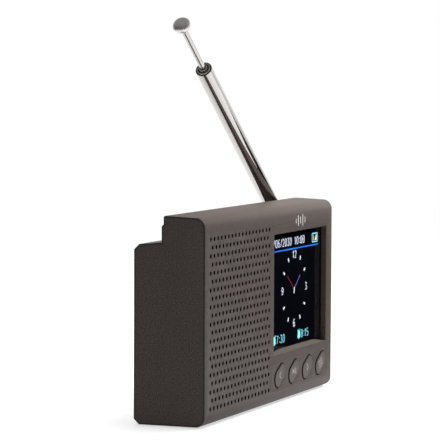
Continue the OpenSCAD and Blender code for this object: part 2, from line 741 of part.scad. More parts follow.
module antenna_rod() color(chrome_color) place() along_antenna() {
    translate([0, 0, tip_s - rod_len]) cylinder(r = tube_r(4) + collar_grow, h = collar_l);
    translate([0, 0, tip_s - rod_len]) cylinder(r = tube_r(4), h = rod_len - tip_h + 0.6);
}

// Flattened ball that closes over the tubes' mouths
module antenna_tip() color(chrome_color) place() along_antenna() translate([0, 0, tip_s]) difference() {
    rotate_extrude() polygon([for (a = [-90 : 7.5 : 90]) [tip_r * cos(a), tip_h * sin(a)]]);
    translate([0, 0, -tip_h - 1]) cylinder(r = tube_r(4), h = 1.6);
}

front_shell();
rear_shell();
case_screws();
rubber_feet();
display_lens();
display_tape();
display_panel();
display_tray();
display_ribbon();
ribbon_socket();
main_board();
radio_module();
board_chips();
board_screws();
key_switches();
back_button();
select_button();
forward_button();
menu_button();
back_plunger();
select_plunger();
forward_plunger();
menu_plunger();
charging_socket();
headphone_socket();
dust_screen();
speaker_gasket();
speaker_frame();
speaker_top_plate();
speaker_magnet();
speaker_pole_plate();
speaker_spider();
speaker_surround();
speaker_cone();
speaker_dust_cap();
voice_coil();
speaker_terminals();
speaker_screws();
speaker_leads();
battery_cell();
battery_foam();
battery_leads();
antenna_base();
antenna_pin();
antenna_washer();
antenna_screw();
antenna_tag();
antenna_lead();
antenna_knuckle();
antenna_tube_1();
antenna_tube_2();
antenna_tube_3();
antenna_tube_4();
antenna_rod();
antenna_tip();
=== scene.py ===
"""Looks of the small portable radio: fine shapes, materials, the lit picture and a pale studio.

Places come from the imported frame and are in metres; MM turns millimetres into metres. Case coordinates run
from the middle of the case (x), back from its front face (y) and up from its underside (z), in millimetres.
"""
import json
import math

import bmesh
import bpy
from mathutils import Matrix, Vector


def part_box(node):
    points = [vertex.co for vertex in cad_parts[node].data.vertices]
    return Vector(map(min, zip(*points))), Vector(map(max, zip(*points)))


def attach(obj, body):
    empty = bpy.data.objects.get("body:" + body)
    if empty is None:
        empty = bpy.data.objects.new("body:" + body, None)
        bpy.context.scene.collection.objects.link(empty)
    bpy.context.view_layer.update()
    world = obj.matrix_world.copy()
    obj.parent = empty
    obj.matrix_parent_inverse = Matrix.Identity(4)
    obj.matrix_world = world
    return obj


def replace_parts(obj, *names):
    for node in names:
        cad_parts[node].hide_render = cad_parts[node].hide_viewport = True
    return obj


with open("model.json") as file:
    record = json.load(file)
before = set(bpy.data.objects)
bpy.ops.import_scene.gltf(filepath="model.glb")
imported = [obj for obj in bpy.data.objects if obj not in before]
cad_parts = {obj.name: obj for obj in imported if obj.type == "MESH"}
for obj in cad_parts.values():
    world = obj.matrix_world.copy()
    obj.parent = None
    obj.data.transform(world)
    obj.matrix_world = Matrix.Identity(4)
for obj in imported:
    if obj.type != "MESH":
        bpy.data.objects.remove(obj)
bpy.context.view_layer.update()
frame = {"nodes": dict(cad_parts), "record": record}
NODES = frame["nodes"]

MM = 0.001
CASE_LOW, CASE_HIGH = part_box("front_shell")


def at(x, y, z):
    """A point given in case coordinates, in the row frame."""
    return Vector((x * MM, CASE_LOW.y + y * MM, CASE_LOW.z + z * MM))


# Boxes in case coordinates that hold the walls of the grille's holes, of the button openings and of the buttons,
# where the plastic is painted near black as painted shade
GRILLE_SHADE_BOX = ((-60, 0.03, 3.4), (-1.2, 2.5, 64.6))
BUTTON_SHADE_BOX = ((2, 0.02, 3.4), (57, 3, 15.8))
KEY_SHADE_BOX = ((2, -0.2, 3.4), (57, 3, 15.8))

# ---------- materials ----------

# The colour sockets of a mix node, which shares its socket names among its data types
MIX_A, MIX_B, MIX_RESULT = 6, 7, 2
# About half a wave of a wave texture of scale 1
HALF_WAVE = 0.16


class Look:
    """A procedural material: texture nodes that read the row frame's own coordinates and feed one shader."""

    def __init__(self, name, **values):
        self.material = bpy.data.materials.new(name)
        self.material.use_nodes = True
        self.tree = self.material.node_tree
        self.shader = next(n for n in self.tree.nodes if n.type == "BSDF_PRINCIPLED")
        self.place = self.add("ShaderNodeTexCoord").outputs["Object"]
        self.use(**values)

    def give(self, socket, value):
        """Links an output to a socket, or sets the socket's own value."""
        if isinstance(value, bpy.types.NodeSocket):
            self.tree.links.new(value, socket)
        elif isinstance(value, (tuple, list)) and len(value) == 3 and socket.type == "RGBA":
            socket.default_value = (*value, 1)
        else:
            socket.default_value = value

    def add(self, kind, settings=(), **inputs):
        """Adds a node; inputs are named, with _ for a space, or in0, in1... by number."""
        made = self.tree.nodes.new(kind)
        for name, value in dict(settings).items():
            setattr(made, name, value)
        for name, value in inputs.items():
            numbered = name[:2] == "in" and name[2:].isdigit()
            self.give(made.inputs[int(name[2:]) if numbered else name.replace("_", " ")], value)
        return made

    def noise(self, size_mm, detail=2.0, roughness=0.5, place=None):
        """Cloudy noise from 0 to 1 with features of about size_mm."""
        return self.add("ShaderNodeTexNoise", Vector=place or self.place, Scale=1 / (size_mm * MM), Detail=detail,
                        Roughness=roughness).outputs["Fac"]

    def cells(self, size_mm):
        """The distance to the nearest of many scattered points."""
        return self.add("ShaderNodeTexVoronoi", Vector=self.place, Scale=1 / (size_mm * MM)).outputs["Distance"]

    def stripes(self, axis, width_mm, place=None, bend=0.0):
        """Soft stripes of 0 and 1 across an axis, each about width_mm wide."""
        return self.add("ShaderNodeTexWave", {"bands_direction": axis}, Vector=place or self.place,
                        Scale=HALF_WAVE / (width_mm * MM), Distortion=bend).outputs["Fac"]

    def squeeze(self, x, y, z, turn=(0, 0, 0)):
        """The place, stretched along its axes, for streaks and weaves."""
        return self.add("ShaderNodeMapping", Vector=self.place, Scale=(x, y, z), Rotation=turn).outputs[0]

    def scale(self, value, low, high, from_low=0.0, from_high=1.0):
        """A value moved from one range to another and clamped to it."""
        return self.add("ShaderNodeMapRange", Value=value, From_Min=from_low, From_Max=from_high, To_Min=low,
                        To_Max=high).outputs[0]

    def maths(self, operation, a, b):
        return self.add("ShaderNodeMath", {"operation": operation}, in0=a, in1=b).outputs[0]

    def blend(self, share, a, b):
        """Colour a where share is 0 and colour b where it is 1."""
        made = self.add("ShaderNodeMix", {"data_type": "RGBA"}, in0=share)
        self.give(made.inputs[MIX_A], a)
        self.give(made.inputs[MIX_B], b)
        return made.outputs[MIX_RESULT]

    def bump(self, height, strength, depth_mm, below=None):
        """A normal bent by a height, on top of the bump below if there is one."""
        made = self.add("ShaderNodeBump", Height=height, Strength=strength, Distance=depth_mm * MM)
        if below is not None:
            self.give(made.inputs["Normal"], below)
        return made.outputs[0]

    def edges(self, width_mm):
        """1 on sharp edges, fading to 0 over width_mm."""
        rounded = self.add("ShaderNodeBevel", {"samples": 4}, Radius=width_mm * MM).outputs[0]
        straight = self.add("ShaderNodeNewGeometry").outputs["Normal"]
        facing = self.add("ShaderNodeVectorMath", {"operation": "DOT_PRODUCT"}, in0=rounded, in1=straight)
        return self.scale(facing.outputs["Value"], 1.0, 0.0, 0.8, 0.995)

    def inside(self, low, high):
        """1 where the place is between two points, given in case coordinates, and 0 elsewhere."""
        parts = self.add("ShaderNodeSeparateXYZ", Vector=self.place)
        share = 1.0
        for axis, least, most in zip("XYZ", at(*low), at(*high)):
            value = parts.outputs[axis]
            share = self.maths("MULTIPLY", share, self.maths("GREATER_THAN", value, least))
            share = self.maths("MULTIPLY", share, self.maths("LESS_THAN", value, most))
        return share

    def use(self, **values):
        """Sets the shader's sockets and hands over the material."""
        for socket, value in values.items():
            self.give(self.shader.inputs[socket.replace("_", " ")], value)
        return self.material


def darker(color, share):
    return tuple(c * share for c in color)


def moulded(name, color, rough, grain_mm, grain_depth_mm, painted_shade_boxes, wear=0.25):
    """Spark-textured plastic: fine grain, faint mottling and edges rubbed paler; painted shade, near black, inside
    the given boxes.
    """
    look = Look(name)
    grain = look.noise(grain_mm, 2, 0.6)
    mottle = look.noise(9, 3)
    speck = look.scale(grain, 0.0, 1.0, 0.36, 0.64)
    toned = look.blend(speck, darker(color, 0.5), darker(color, 1.55))
    toned = look.blend(look.scale(mottle, 0.0, 0.35), toned, darker(color, 0.85))
    edge = look.maths("MULTIPLY", look.edges(0.12), look.scale(mottle, 0.4 * wear, 1.6 * wear, 0.3, 0.7))
    toned = look.blend(edge, toned, darker(color, 2.1))
    # Painted shade: the plastic turns near black inside each box, for the shade in the grille's holes and round the
    # buttons
    for box in painted_shade_boxes:
        toned = look.blend(look.inside(*box), toned, darker(color, 0.04))
    roughness = look.maths("SUBTRACT", look.scale(grain, rough - 0.06, rough + 0.06),
                           look.maths("MULTIPLY", edge, 0.3))
    relief = look.bump(look.cells(grain_mm * 1.3), 0.35, grain_depth_mm)
    relief = look.bump(grain, 0.6, grain_depth_mm, relief)
    return look.use(Base_Color=toned, Roughness=roughness, Normal=relief, Specular_IOR_Level=0.2)


def metal(name, color, rough, streak=(1, 1, 1), streak_mm=0.4, depth_mm=0.002, soiled=0.3):
    """Plated or bright metal with fine working marks, and a film of handling that dulls it in patches."""
    look = Look(name, Metallic=1.0)
    marks = look.noise(streak_mm, 2, 0.6, look.squeeze(*streak))
    film = look.noise(6, 4, 0.6)
    patch = look.scale(film, 0.0, soiled, 0.45, 0.75)
    toned = look.blend(look.scale(marks, 0.0, 0.5, 0.3, 0.7), color, darker(color, 0.9))
    toned = look.blend(patch, toned, darker(color, 0.82))
    roughness = look.maths("ADD", look.scale(marks, rough * 0.7, rough * 1.3),
                           look.maths("MULTIPLY", patch, 0.12))
    return look.use(Base_Color=toned, Roughness=roughness, Normal=look.bump(marks, 0.25, depth_mm))


def cloth(name, color, thread_mm):
    """Woven threads seen as two crossed waves."""
    look = Look(name, Roughness=0.9, Sheen_Weight=0.2)
    threads = [look.stripes("X", thread_mm, look.squeeze(1, 1, 1, (0, turn, 0)), 0.6) for turn in (0, math.pi / 2)]
    weave = look.maths("MULTIPLY", *threads)
    tuft = look.noise(thread_mm * 0.5, 2)
    toned = look.blend(weave, darker(color, 0.5), darker(color, 1.3))
    toned = look.blend(look.scale(tuft, 0.0, 0.4), toned, darker(color, 0.7))
    return look.use(Base_Color=toned, Normal=look.bump(weave, 0.7, thread_mm * 0.2))


def lens_glass():
    """Clear pane with the faintest smears, which only show in its gloss."""
    look = Look("display_glass_look", Transmission_Weight=1.0, IOR=1.45, Base_Color=(0.93, 0.95, 0.97))
    smear = look.noise(14, 4, 0.7, look.squeeze(1, 1, 3))
    return look.use(Roughness=look.scale(smear, 0.0, 0.035, 0.5, 0.8))


def dark_panel():
    """Unlit picture area: near black, with a faint uneven blue glow and a trace of its cells' grain."""
    look = Look("display_panel_look")
    glow = look.noise(22, 1)
    grain = look.noise(0.16, 0, 0.5)
    toned = look.blend(look.scale(glow, 0.0, 1.0, 0.3, 0.7), (0.0016, 0.0018, 0.0044), (0.003, 0.0034, 0.0078))
    toned = look.blend(look.scale(grain, 0.0, 0.4), toned, (0.001, 0.001, 0.002))
    base = look.blend(grain, (0.0006, 0.0006, 0.0008), (0.0003, 0.0003, 0.0003))
    return look.use(Base_Color=base, Roughness=0.6, Specular_IOR_Level=0.0, Emission_Color=toned,
                    Emission_Strength=0.9)


def lit(name, color, strength):
    """A lit patch of the picture, with the slight unevenness of its backlight."""
    look = Look(name)
    uneven = look.noise(0.35, 1)
    toned = look.blend(look.scale(uneven, 0.0, 0.5), color, darker(color, 0.55))
    return look.use(Base_Color=darker(color, 0.1), Emission_Color=toned, Emission_Strength=strength, Roughness=0.5)


def print_ink(name, color):
    """Pad-printed ink that lets a little of the plastic's grain through."""
    look = Look(name)
    wear = look.noise(0.3, 3, 0.7)
    toned = look.blend(look.scale(wear, 0.0, 0.7, 0.4, 0.7), color, darker(color, 0.55))
    return look.use(Base_Color=toned, Roughness=look.scale(wear, 0.45, 0.65), Normal=look.bump(wear, 0.4, 0.01))


def rubber(name, color):
    """Dull rubber with dust on it in patches."""
    look = Look(name)
    grain = look.noise(0.5, 3, 0.6)
    dust = look.noise(4, 4, 0.7)
    toned = look.blend(look.scale(dust, 0.0, 0.5, 0.45, 0.75), color, (0.09, 0.085, 0.08))
    return look.use(Base_Color=toned, Roughness=look.scale(grain, 0.7, 0.92), Normal=look.bump(grain, 0.5, 0.03))


def circuit():
    """Green board: solder mask over faint copper tracks, with the glass weave just showing."""
    look = Look("circuit_board_look")
    brick = look.add("ShaderNodeTexBrick", {"offset": 0.37}, Vector=look.squeeze(1, 1, 1, (math.pi / 2, 0, 0)),
                     Scale=1 / (6 * MM), Mortar_Size=0.035)
    track = brick.outputs["Fac"]
    weave = look.noise(0.4, 2, 0.5, look.squeeze(1, 1, 4))
    toned = look.blend(track, (0.012, 0.085, 0.035), (0.04, 0.16, 0.06))
    toned = look.blend(look.scale(weave, 0.0, 0.4), toned, (0.008, 0.05, 0.02))
    return look.use(Base_Color=toned, Roughness=look.scale(weave, 0.3, 0.45), Normal=look.bump(track, 0.5, 0.03))


def wound_copper():
    """Fine copper wire wound in turns along the coil, with painted shade between the turns and painted highlights
    on them.
    """
    look = Look("copper_coil_look", Metallic=1.0)
    turns = look.stripes("Y", 0.16)
    # Painted shade between the turns and painted highlight on their crowns: dark copper in the grooves, bright
    # copper on top
    toned = look.blend(turns, (0.30, 0.10, 0.03), (0.85, 0.42, 0.18))
    return look.use(Base_Color=toned, Roughness=look.scale(turns, 0.5, 0.25), Normal=look.bump(turns, 0.8, 0.05))


def ribbon_film():
    """Amber film with copper tracks under it."""
    look = Look("ribbon_film_look")
    tracks = look.stripes("Z", 0.5)
    toned = look.blend(tracks, (0.42, 0.13, 0.012), (0.62, 0.27, 0.05))
    return look.use(Base_Color=toned, Roughness=0.3, Normal=look.bump(tracks, 0.3, 0.01), Coat_Weight=0.5)


def grainy(name, color, rough, grain_mm, depth_mm):
    """Plain moulded, painted, sintered or foamed stuff: mottled colour and a grain of its own size."""
    look = Look(name)
    grain = look.noise(grain_mm, 3, 0.6)
    mottle = look.noise(grain_mm * 14, 2)
    toned = look.blend(look.scale(grain, 0.0, 1.0, 0.3, 0.7), darker(color, 0.8), darker(color, 1.15))
    toned = look.blend(look.scale(mottle, 0.0, 0.4), toned, darker(color, 0.75))
    return look.use(Base_Color=toned, Roughness=look.scale(grain, rough - 0.08, rough + 0.08),
                    Normal=look.bump(grain, 0.5, depth_mm))


CASE_COLOR = (0.0465, 0.0365, 0.0325)
MATERIALS = {
    "case_plastic": moulded("case_plastic_look", CASE_COLOR, 0.55, 0.36, 0.04, (GRILLE_SHADE_BOX, BUTTON_SHADE_BOX)),
    "key_plastic": moulded("key_plastic_look", CASE_COLOR, 0.46, 0.3, 0.02, (KEY_SHADE_BOX,), 0.4),
    "display_glass": lens_glass(),
    "display_panel": dark_panel(),
    "black_tape": grainy("black_tape_look", (0.006, 0.006, 0.007), 0.7, 0.3, 0.01),
    "steel": metal("steel_look", (0.62, 0.61, 0.60), 0.22, (1, 1, 6), 0.5),
    "chrome": metal("chrome_look", (0.47, 0.455, 0.445), 0.04, (1, 1, 1), 0.8, 0.0006, 0.12),
    "circuit_board": circuit(),
    "chip_plastic": grainy("chip_plastic_look", (0.012, 0.012, 0.013), 0.5, 0.2, 0.01),
    "socket_plastic": grainy("socket_plastic_look", (0.014, 0.014, 0.015), 0.42, 0.3, 0.01),
    "connector_plastic": grainy("connector_plastic_look", (0.72, 0.68, 0.58), 0.4, 0.4, 0.01),
    "ribbon_film": ribbon_film(),
    "brass": metal("brass_look", (0.72, 0.52, 0.22), 0.3, (1, 1, 1), 0.4, 0.004),
    "copper_coil": wound_copper(),
    "ferrite": grainy("ferrite_look", (0.03, 0.03, 0.032), 0.65, 0.25, 0.02),
    "frame_steel": grainy("frame_steel_look", (0.025, 0.025, 0.027), 0.38, 0.5, 0.01),
    "cone_paper": grainy("cone_paper_look", (0.02, 0.02, 0.021), 0.9, 0.35, 0.04),
    "screen_cloth": cloth("screen_cloth_look", (0.004, 0.004, 0.0045), 0.35),
    "spider_cloth": cloth("spider_cloth_look", (0.48, 0.27, 0.07), 0.5),
    "black_rubber": rubber("black_rubber_look", (0.014, 0.014, 0.014)),
    "foam": grainy("foam_look", (0.6, 0.57, 0.5), 0.95, 0.45, 0.15),
    "battery_film": metal("battery_film_look", (0.6, 0.62, 0.64), 0.35, (1, 1, 1), 0.9, 0.01, 0.4),
    "wire_cover": grainy("wire_cover_look", (0.28, 0.02, 0.016), 0.35, 0.3, 0.005),
    "board_plastic": grainy("board_plastic_look", (0.26, 0.13, 0.045), 0.6, 0.3, 0.01),
}
INK = print_ink("mark_ink_look", (0.55, 0.53, 0.50))
LEGEND_INK = print_ink("legend_ink_look", (0.26, 0.25, 0.235))
SATIN = metal("satin_chrome_look", (0.72, 0.68, 0.665), 0.36, (1, 1, 1), 0.3, 0.002, 0.2)
# Painted shade: a near-black metal that stands for the shade in the mouths of every other antenna section
PAINTED_SHADE_RIM = metal("painted_shade_rim_look", (0.05, 0.045, 0.045), 0.25, (1, 1, 1), 0.3, 0.002, 0.3)
for part in frame["record"]["subparts"]:
    slots = NODES[part["node"]].data.materials
    slots.clear()
    slots.append(MATERIALS[part["material_slot"]])


# ---------- shapes ----------


def placed(name, data):
    """An object with the given data, linked into the scene."""
    made = bpy.data.objects.new(name, data)
    bpy.context.scene.collection.objects.link(made)
    return made


def piece(name, mesh, body, material, smooth_deg=35):
    """Puts a mesh, already in the row frame, into the scene as a piece that rides on a body."""
    made = placed(name, mesh)
    mesh.materials.append(material)
    mesh.shade_smooth()
    mesh.set_sharp_from_angle(angle=math.radians(smooth_deg))
    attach(made, body)
    return made


def finished(bm, name, matrix=None):
    """Turns a bmesh into a mesh with its faces outwards."""
    if matrix is not None:
        bm.transform(matrix)
    bmesh.ops.recalc_face_normals(bm, faces=bm.faces)
    mesh = bpy.data.meshes.new(name)
    bm.to_mesh(mesh)
    bm.free()
    return mesh


def lathe(bm, profile, sides=96):
    """Spins (along, radius) points in millimetres about +Z into a closed surface.

    A profile that starts on the axis also ends there. Any other one is taken as a closed loop.
    """
    rings = []
    for along, radius in profile:
        if radius == 0:
            rings.append([bm.verts.new((0, 0, along * MM))])
            continue
        rings.append([bm.verts.new((radius * MM * math.cos(a), radius * MM * math.sin(a), along * MM))
                      for a in (2 * math.pi * k / sides for k in range(sides))])
    hollow = profile[0][1] != 0
    for low, high in zip(rings, rings[1:] + rings[:1] if hollow else rings[1:]):
        for k in range(sides):
            n = (k + 1) % sides
            corners = [low[k % len(low)], low[n % len(low)], high[n % len(high)], high[k % len(high)]]
            bm.faces.new(list(dict.fromkeys(corners)))


def arc(cx, cz, r, start, end, steps):
    """Points round a circle, from one angle to another in degrees."""
    turns = [math.radians(start + (end - start) * k / steps) for k in range(steps + 1)]
    return [(cx + r * math.cos(turn), cz + r * math.sin(turn)) for turn in turns]


# ---------- case ----------

# Points closer than SAME_PLACE are joined, and so are faces that meet at less than FLAT_DEG
SAME_PLACE = 0.002
FLAT_DEG = 0.5
SHARP_DEG = 35
# The shadow gap in each end: its distance from the outline, its width and depth, and how far down, as a share of
# the depth, the near-black strip of painted shade in it starts
GROOVE_IN = 0.14
GROOVE_WIDE = 0.48
GROOVE_DEEP = 0.35
SHADE_STRIP_DOWN = 0.1
# The grille lies left of here on the front; the window and the buttons lie right of it
GRILLE_END = -1.5


def sharp_edges(bm, wanted):
    """Sharp edges whose two ends both satisfy wanted(point)."""
    return [e for e in bm.edges if len(e.link_faces) == 2 and e.calc_face_angle(0) > math.radians(SHARP_DEG)
            and all(wanted(v.co) for v in e.verts)]


def eased(node, name, rounds):
    """Replaces a case shell with a copy that has rounded edges; rounds is [(width in mm, test of a point), ...]."""
    bm = bmesh.new()
    bm.from_mesh(NODES[node].data)
    bmesh.ops.remove_doubles(bm, verts=bm.verts, dist=SAME_PLACE * MM)
    bmesh.ops.dissolve_limit(bm, angle_limit=math.radians(FLAT_DEG), verts=bm.verts, edges=bm.edges)
    grooves = end_grooves(bm) if node == "front_shell" else None
    for width, wanted in rounds:
        bmesh.ops.bevel(bm, geom=sharp_edges(bm, wanted), offset=width * MM, offset_type="OFFSET", segments=3,
                        profile=0.5, affect="EDGES", clamp_overlap=False)
    mesh = finished(bm, name)
    if grooves:
        mesh = carved(mesh, grooves)
    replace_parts(piece(name, mesh, "housing", MATERIALS["case_plastic"], smooth_deg=30), node)


def carved(mesh, cutter):
    """What is left of a mesh when a closed cutter is taken out of it; the whole mesh, should the cut fail."""
    whole, tool = (placed(m.name, m) for m in (mesh, cutter))
    cut = whole.modifiers.new("cut", "BOOLEAN")
    cut.object, cut.operation, cut.solver = tool, "DIFFERENCE", "EXACT"
    left = bpy.data.meshes.new_from_object(whole.evaluated_get(bpy.context.evaluated_depsgraph_get()))
    for o in (whole, tool):
        bpy.data.objects.remove(o)
    return left if len(left.polygons) > len(mesh.polygons) else mesh


def near(a, b):
    return abs(a - b) < 0.01 * MM


def on_front(p):
    return near(p.y, CASE_LOW.y)


def on_side(p):
    return near(abs(p.x), CASE_HIGH.x)


def in_grille(p):
    return on_front(p) and not on_side(p) and p.x < GRILLE_END * MM


def around_openings(p):
    return on_front(p) and not on_side(p) and p.x > GRILLE_END * MM


def end_outline(bm, side):
    """The corners, in order, round the flat end of the case on one side (-1 or 1)."""
    ends = [f for f in bm.faces if f.normal.x * side > 0.99 and near(f.calc_center_median().x, side * CASE_HIGH.x)]
    rims = [e for f in ends for e in f.edges if sum(g in ends for g in e.link_faces) == 1]
    meeting = {}
    for e in rims:
        for v in e.verts:
            meeting.setdefault(v, []).append(e)
    start = min(meeting, key=lambda v: v.co.z)
    outline, edge, v = [], meeting[start][0], start
    while not outline or v is not start:
        outline.append(v.co.copy())
        v = edge.other_vert(v)
        edge = next(e for e in meeting[v] if e is not edge)
    return outline


def end_grooves(bm):
    """The cutter for the shadow gap just inside each end's outline; the near-black strips of painted shade in it
    are put in place.
    """
    cutter, strip = bmesh.new(), bmesh.new()
    for side in (-1, 1):
        outline = end_outline(bm, side)
        depth = Vector((side * GROOVE_DEEP * MM, 0, 0))
        lines = [moved_in(outline, inset * MM) for inset in (GROOVE_IN, GROOVE_IN + GROOVE_WIDE)]
        ring_bar(cutter, *lines, -depth, depth)
        ring_bar(strip, *lines, -depth, -depth * SHADE_STRIP_DOWN)
    # Painted shade: near-black strips, in the black tape material, lie on the groove's floor for the shade in the
    # gap
    name = "end_gap_painted_shade_strips"
    piece(name, finished(strip, name), "housing", MATERIALS["black_tape"])
    return finished(cutter, "end_grooves")


def ring_bar(bm, outer, inner, low, high):
    """A closed bar between two rings of points, from the shift low to the shift high."""
    rings = [[bm.verts.new(p + shift) for p in line] for line, shift in
             ((outer, low), (outer, high), (inner, high), (inner, low))]
    for a, b in zip(rings, rings[1:] + rings[:1]):
        for k in range(len(outer)):
            n = (k + 1) % len(outer)
            bm.faces.new((a[k], a[n], b[n], b[k]))


def moved_in(outline, inset):
    """A closed line in the y-z plane, moved inwards by inset with mitred corners."""
    area = sum(a.y * b.z - b.y * a.z for a, b in zip(outline, outline[1:] + outline[:1]))
    turn = 1 if area > 0 else -1
    moved = []
    for k, p in enumerate(outline):
        ahead = (outline[(k + 1) % len(outline)] - p).normalized()
        behind = (p - outline[k - 1]).normalized()
        normal = [Vector((0, -d.z, d.y)) * turn for d in (behind, ahead)]
        middle = (normal[0] + normal[1]).normalized()
        moved.append(p + middle * inset / max(middle.dot(normal[0]), 0.3))
    return moved


eased("front_shell", "case_front", [(0.18, on_side), (0.15, around_openings), (0.04, in_grille)])
rear_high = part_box("rear_shell")[1]
eased("rear_shell", "case_back", [(0.12, lambda p: near(abs(p.x), rear_high.x) or near(p.y, rear_high.y))])


# ---------- antenna ----------

# The antenna lies along +Z from the tilt pin before ALONG puts it in place; sizes as in the CAD, in millimetres
TILT = 36.3
PIVOT = at(56.5, 19.8, 63.3)
ALONG = Matrix.Translation(PIVOT) @ Matrix.Rotation(math.radians(TILT - 90), 4, "Y")
MOUTH = 88.7
TUBE_START = 4.6
FOOT_RISE = 1.6
FOOT_STEP = 0.9
OUTER_D = 5.8
TUBE_STEP = 0.92
TUBE_WALL = 0.3
SLIP = 0.06
NEST = 0.3
ROD_OUT = 21.5
ROD_LEN = 82
TIP_R = 3.09
TIP_H = 2.0
# The ball is spun from this latitude, just above the rod, up to its pole
BALL_START = -70
BALL_STEPS = 40
COLLAR_GROW = TUBE_STEP / 2 - TUBE_WALL - SLIP
COLLAR_LEN = 2
LIP_R = 0.25
TUBE_BODIES = ("outer_tube", "second_tube", "third_tube", "fourth_tube")


def tube_radius(i):
    return (OUTER_D - i * TUBE_STEP) / 2


def tube_profile(i):
    """Section i: a collar at its foot, a plain wall and a mouth rolled inwards with a rounded lip."""
    r = tube_radius(i)
    low = TUBE_START + (FOOT_RISE if i else 0) + FOOT_STEP * i
    top = MOUTH + NEST * i
    foot = r + (COLLAR_GROW if i else 0)
    mouth = tube_radius(i + 1) + SLIP
    lip = [(top + z, r + x) for x, z in arc(-LIP_R, -LIP_R, LIP_R, 0, 90, 6)]
    return [(low, r - TUBE_WALL), (low, foot), (low + COLLAR_LEN, foot), (low + COLLAR_LEN + 0.3, r), *lip,
            (top, mouth + 0.04), (top - 0.04, mouth), (top - 1, mouth), (top - 1.3, r - TUBE_WALL)]


for i, body in enumerate(TUBE_BODIES):
    name = f"antenna_section_{i + 1}"
    bm = bmesh.new()
    lathe(bm, tube_profile(i))
    tube = piece(name, finished(bm, name, ALONG), body, MATERIALS["chrome"])
    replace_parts(tube, f"antenna_tube_{i + 1}")
    if i % 2 == 0:  # every other mouth is painted dark, as painted shade, so that the rings show
        tube.data.materials.append(PAINTED_SHADE_RIM)
        into = ALONG.inverted()
        for face in tube.data.polygons:
            if (into @ face.center).z > (MOUTH + NEST * i - 0.2) * MM:
                face.material_index = 1

tip_middle = MOUTH + 3 * NEST + ROD_OUT + TIP_H + 0.1
rod_foot = tip_middle - ROD_LEN
rod_r = tube_radius(4)
bm = bmesh.new()
lathe(bm, [(rod_foot, 0), (rod_foot, rod_r + COLLAR_GROW), (rod_foot + COLLAR_LEN, rod_r + COLLAR_GROW),
           (rod_foot + COLLAR_LEN, rod_r), (tip_middle - TIP_H + 0.6, rod_r), (tip_middle - TIP_H + 0.6, 0)],
      sides=64)
name = "antenna_inner_rod"
rod = piece(name, finished(bm, name, ALONG), "tip_rod", MATERIALS["chrome"])
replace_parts(rod, "antenna_rod")

bm = bmesh.new()
ball = [(tip_middle + TIP_H * math.sin(a), TIP_R * math.cos(a))
        for a in (math.radians(BALL_START + (90 - BALL_START) * k / BALL_STEPS) for k in range(BALL_STEPS))]
lathe(bm, [(tip_middle - TIP_H + 0.45, 0), (tip_middle - TIP_H + 0.45, rod_r), (tip_middle - TIP_H + 0.05, rod_r),
           *ball, (tip_middle + TIP_H, 0)])
name = "antenna_end_ball"
tip = piece(name, finished(bm, name, ALONG), "tip_rod", SATIN, smooth_deg=50)
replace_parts(tip, "antenna_tip")


# ---------- buttons ----------

# Sizes as in the CAD: a button is a slot shape BUTTON_W wide whose round ends are BUTTON_C apart
WINDOW_X = 29.1
BUTTON_PITCH = 14.1
BUTTON_Z = 9.45
BUTTON_W = 5.8
BUTTON_C = 4.7
BUTTON_LEAN = 27
BUTTON_PROUD = 0.3
BUTTON_ROLL = 0.32
WALL = 1.9
FLANGE_FRONT = WALL + 0.1
FLANGE_BACK = FLANGE_FRONT + 0.8
FLANGE_GROW = 0.8
PLUNGER_FRONT = 4.0
STEM_R = 1.4
STEM_LEN = PLUNGER_FRONT - FLANGE_BACK
KEYS = ("back", "select", "forward", "menu")
LEAN = Matrix.Rotation(-math.radians(BUTTON_LEAN), 4, "Y")
INK_THICK = 0.012
LEGEND_Y = INK_THICK - BUTTON_PROUD


def capsule(radius, half):
    """Outline of a slot with round ends, as (x, z) in millimetres."""
    return arc(half, 0, radius, -90, 90, 20) + arc(-half, 0, radius, 90, 270, 20)


def skin(bm, loops):
    """Joins equal loops of points, given in order, into one closed surface with flat ends."""
    rings = [[bm.verts.new(p) for p in loop] for loop in loops]
    for low, high in zip(rings, rings[1:]):
        for k in range(len(low)):
            n = (k + 1) % len(low)
            bm.faces.new((low[k], low[n], high[n], high[k]))
    bm.faces.new(rings[0])
    bm.faces.new(rings[-1])


def button_mesh(name, x):
    """Cap with a rolled edge and a face that is faintly hollow, its retaining flange and its stem."""
    shoulder = BUTTON_ROLL - BUTTON_PROUD
    rows = [(FLANGE_BACK, FLANGE_GROW), (FLANGE_FRONT, FLANGE_GROW), (FLANGE_FRONT, 0), (shoulder, 0)]
    rows += [(shoulder - BUTTON_ROLL * math.sin(a), -BUTTON_ROLL * (1 - math.cos(a)))
             for a in map(math.radians, (22, 45, 68, 84))]
    rows += [(-BUTTON_PROUD + 0.004, -0.55), (LEGEND_Y, -1.2)]
    bm = bmesh.new()
    skin(bm, [[(px * MM, y * MM, pz * MM) for px, pz in capsule(BUTTON_W / 2 + grow, BUTTON_C / 2)]
              for y, grow in rows])
    stem = bmesh.new()
    lathe(stem, [(0, 0), (0, STEM_R), (STEM_LEN, STEM_R), (STEM_LEN, 0)], sides=32)
    stem.transform(Matrix.Translation((0, FLANGE_BACK * MM, 0)) @ Matrix.Rotation(-math.pi / 2, 4, "X"))
    joined = bpy.data.meshes.new("stem")
    stem.to_mesh(joined)
    stem.free()
    bm.from_mesh(joined)
    bpy.data.meshes.remove(joined)
    return finished(bm, name, Matrix.Translation(at(x, 0, BUTTON_Z)) @ LEAN)


